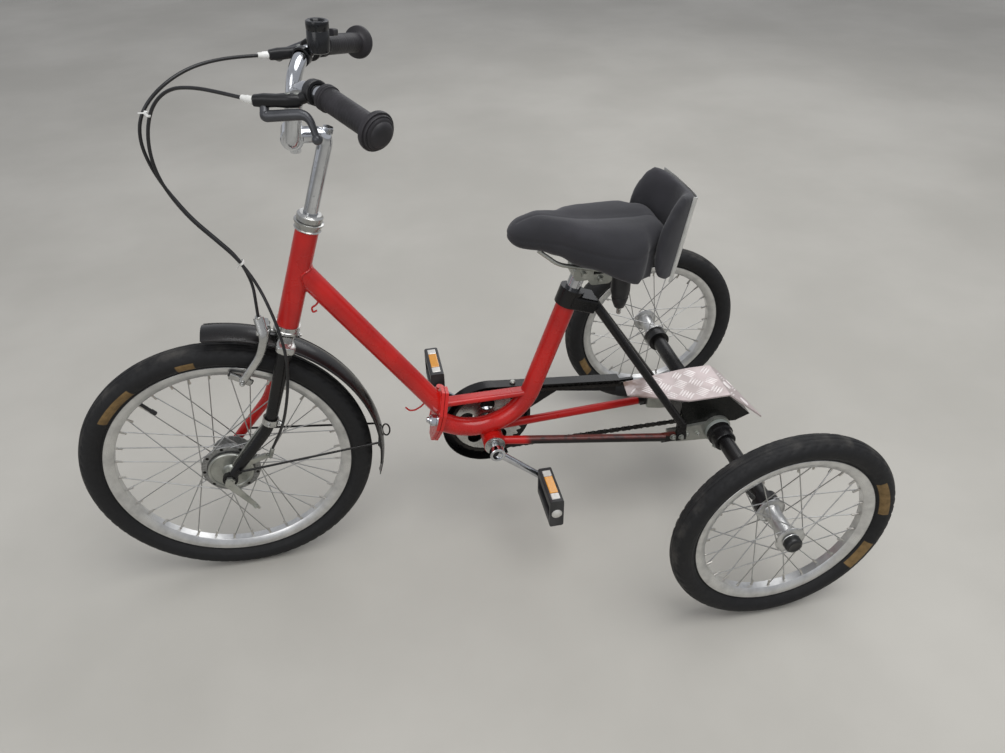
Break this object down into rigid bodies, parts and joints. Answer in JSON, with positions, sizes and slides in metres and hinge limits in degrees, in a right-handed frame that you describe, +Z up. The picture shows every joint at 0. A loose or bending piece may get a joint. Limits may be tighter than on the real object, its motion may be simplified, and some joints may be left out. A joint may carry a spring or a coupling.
{
  "type": "upright tricycle",
  "caption": "Child's upright tricycle with a low folding frame, one steered front wheel, two rear wheels, chain drive, padded saddle and back support.",
  "frame": {"origin": "on the floor, under the middle of the length and on the mid plane between the rear wheels", "axes": "+X forward, +Y to the rider's left, +Z up"},
  "size_m": [1.3508, 0.736, 0.956],
  "materials": {
    "red_paint": "gloss",
    "black_paint": "gloss",
    "chrome": "polished",
    "zinc_steel": "satin",
    "alloy": "satin",
    "spoke_steel": "satin",
    "tread_steel": "worn chequer plate",
    "housing_grey": "satin",
    "chain_steel": "oiled",
    "tyre_rubber": "matte",
    "grip_rubber": "matte",
    "lever_plastic": "matte",
    "pedal_plastic": "matte",
    "saddle_foam": "matte",
    "cable_jacket": "satin"
  },
  "bodies": {
    "frame": {"seat_tube": "red_paint", "lower_tube": "red_paint", "hinge_rear": "red_paint", "brace_bar": "red_paint", "bottom_bracket_shell": "red_paint", "bottom_bracket_cups": "zinc_steel", "chain_stay_left": "red_paint", "chain_stay_right": "black_paint", "seat_collar": "black_paint", "seat_struts": "red_paint", "seat_post": "alloy", "saddle_clamp": "zinc_steel", "saddle_frame": "zinc_steel", "saddle": "saddle_foam", "backrest_pad": "saddle_foam", "backrest_plate": "alloy", "carriage_box": "black_paint", "tread_plate": "tread_steel", "carrier_plates": "zinc_steel", "bearing_housings": "housing_grey", "axle_tubes": "black_paint", "chain_guard": "black_paint", "chain": "chain_steel"},
    "front_frame": {"head_tube": "red_paint", "down_tube": "red_paint", "headset_cups": "chrome", "hinge_front": "red_paint", "hinge_clamp_bolt": "zinc_steel"},
    "steering": {"fork_crown": "chrome", "fork_blade_left": "black_paint", "fork_blade_right": "red_paint", "stem": "chrome", "handlebar": "chrome", "grips": "grip_rubber", "brake_levers": "lever_plastic", "bell": "lever_plastic", "front_mudguard": "black_paint", "mudguard_stays": "zinc_steel", "brake_caliper": "zinc_steel", "brake_plate": "zinc_steel", "front_axle": "zinc_steel", "cable_caliper": "cable_jacket", "cable_drum": "cable_jacket"},
    "front_wheel": {"front_tyre": "tyre_rubber", "front_rim": "alloy", "front_spokes": "spoke_steel", "front_hub": "alloy"},
    "rear_wheel_left": {"rear_left_tyre": "tyre_rubber", "rear_left_rim": "alloy", "rear_left_spokes": "spoke_steel", "rear_left_hub": "alloy"},
    "rear_wheel_right": {"rear_right_tyre": "tyre_rubber", "rear_right_rim": "alloy", "rear_right_spokes": "spoke_steel", "rear_right_hub": "alloy", "drive_sprocket": "zinc_steel"},
    "crankset": {"cranks": "chrome", "chainring": "zinc_steel"},
    "pedal_left": {"pedal_left": "pedal_plastic"},
    "pedal_right": {"pedal_right": "pedal_plastic"}
  },
  "joints": [
    {"name": "fold", "type": "hinge", "parent": "frame", "child": "front_frame", "pos_m": [0.0525, -0.034, 0.287], "axis": [-0.2487, 0, 0.9686], "range_deg": [-90, 0]},
    {"name": "steer", "type": "hinge", "parent": "front_frame", "child": "steering", "pos_m": [0.2855, 0, 0.517], "axis": [-0.3256, 0, 0.9455], "range_deg": [-60, 60]},
    {"name": "front_wheel_spin", "type": "hinge", "parent": "steering", "child": "front_wheel", "pos_m": [0.4275, 0, 0.248], "axis": [0, 1, 0], "continuous": true},
    {"name": "rear_wheel_left_spin", "type": "hinge", "parent": "frame", "child": "rear_wheel_left", "pos_m": [-0.4775, 0.324, 0.198], "axis": [0, 1, 0], "continuous": true},
    {"name": "rear_wheel_right_spin", "type": "hinge", "parent": "frame", "child": "rear_wheel_right", "pos_m": [-0.4775, -0.324, 0.198], "axis": [0, 1, 0], "continuous": true},
    {"name": "crank_spin", "type": "hinge", "parent": "frame", "child": "crankset", "pos_m": [-0.0435, 0, 0.22], "axis": [0, 1, 0], "continuous": true},
    {"name": "pedal_left_spin", "type": "hinge", "parent": "crankset", "child": "pedal_left", "pos_m": [-0.12947, 0.119, 0.15137], "axis": [0, 1, 0], "continuous": true},
    {"name": "pedal_right_spin", "type": "hinge", "parent": "crankset", "child": "pedal_right", "pos_m": [0.04247, -0.122, 0.28863], "axis": [0, 1, 0], "continuous": true}
  ]
}
